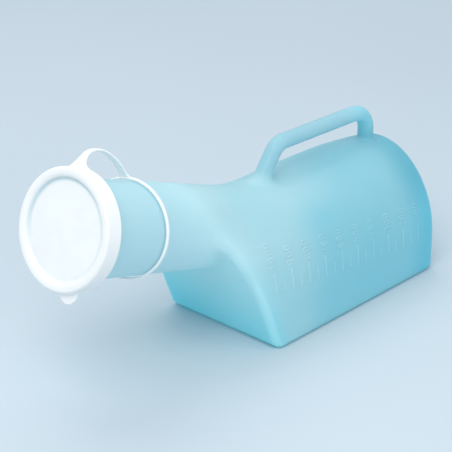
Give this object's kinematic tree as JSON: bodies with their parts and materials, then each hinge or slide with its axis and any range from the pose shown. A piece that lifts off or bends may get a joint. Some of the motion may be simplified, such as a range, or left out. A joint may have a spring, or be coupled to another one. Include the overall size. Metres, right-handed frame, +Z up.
{
  "type": "urine bottle",
  "caption": "Handled urine bottle with a wide flat base, raised tapered neck, side graduation and a push-on lid tethered to a loose collar ring.",
  "frame": {"origin": "middle of the flat base the bottle rests on", "axes": "+Z up from the base, -X along the body towards the mouth, graduated side faces -Y"},
  "size_m": [0.296, 0.0925, 0.1483],
  "materials": {
    "bottle_plastic": "milky translucent polyethylene, satin, pale aqua cast",
    "lid_plastic": "soft white polyethylene, satin"
  },
  "bodies": {
    "bottle": {"bottle_body": "bottle_plastic", "bottle_neck": "bottle_plastic", "mouth_bead": "bottle_plastic", "handle_bar": "bottle_plastic", "handle_front_bend": "bottle_plastic", "handle_rear_bend": "bottle_plastic", "handle_front_leg": "bottle_plastic", "handle_rear_leg": "bottle_plastic", "graduation_long_marks": "bottle_plastic", "graduation_short_marks": "bottle_plastic", "graduation_numerals": "bottle_plastic"},
    "collar": {"collar_ring": "lid_plastic", "tether_strap": "lid_plastic"},
    "strap_end": {"strap_end_link": "lid_plastic"},
    "lid": {"lid_face": "lid_plastic", "lid_skirt": "lid_plastic", "lid_pull_tab": "lid_plastic", "lid_strap_yoke": "lid_plastic"}
  },
  "joints": [
    {"name": "collar_turn", "type": "hinge", "parent": "bottle", "child": "collar", "pos_m": [-0.2051, 0, 0.1119], "axis": [-0.9511, 0, 0.309], "continuous": true},
    {"name": "lid_pull", "type": "slide", "parent": "collar", "child": "strap_end", "axis": [-0.9511, 0, 0.309], "range_m": [0, 0.01]},
    {"name": "lid_swing", "type": "hinge", "parent": "strap_end", "child": "lid", "pos_m": [-0.17972, 0.00713, 0.14616], "axis": [-0.0537, 0.9848, -0.1651], "range_deg": [0, 150]}
  ]
}
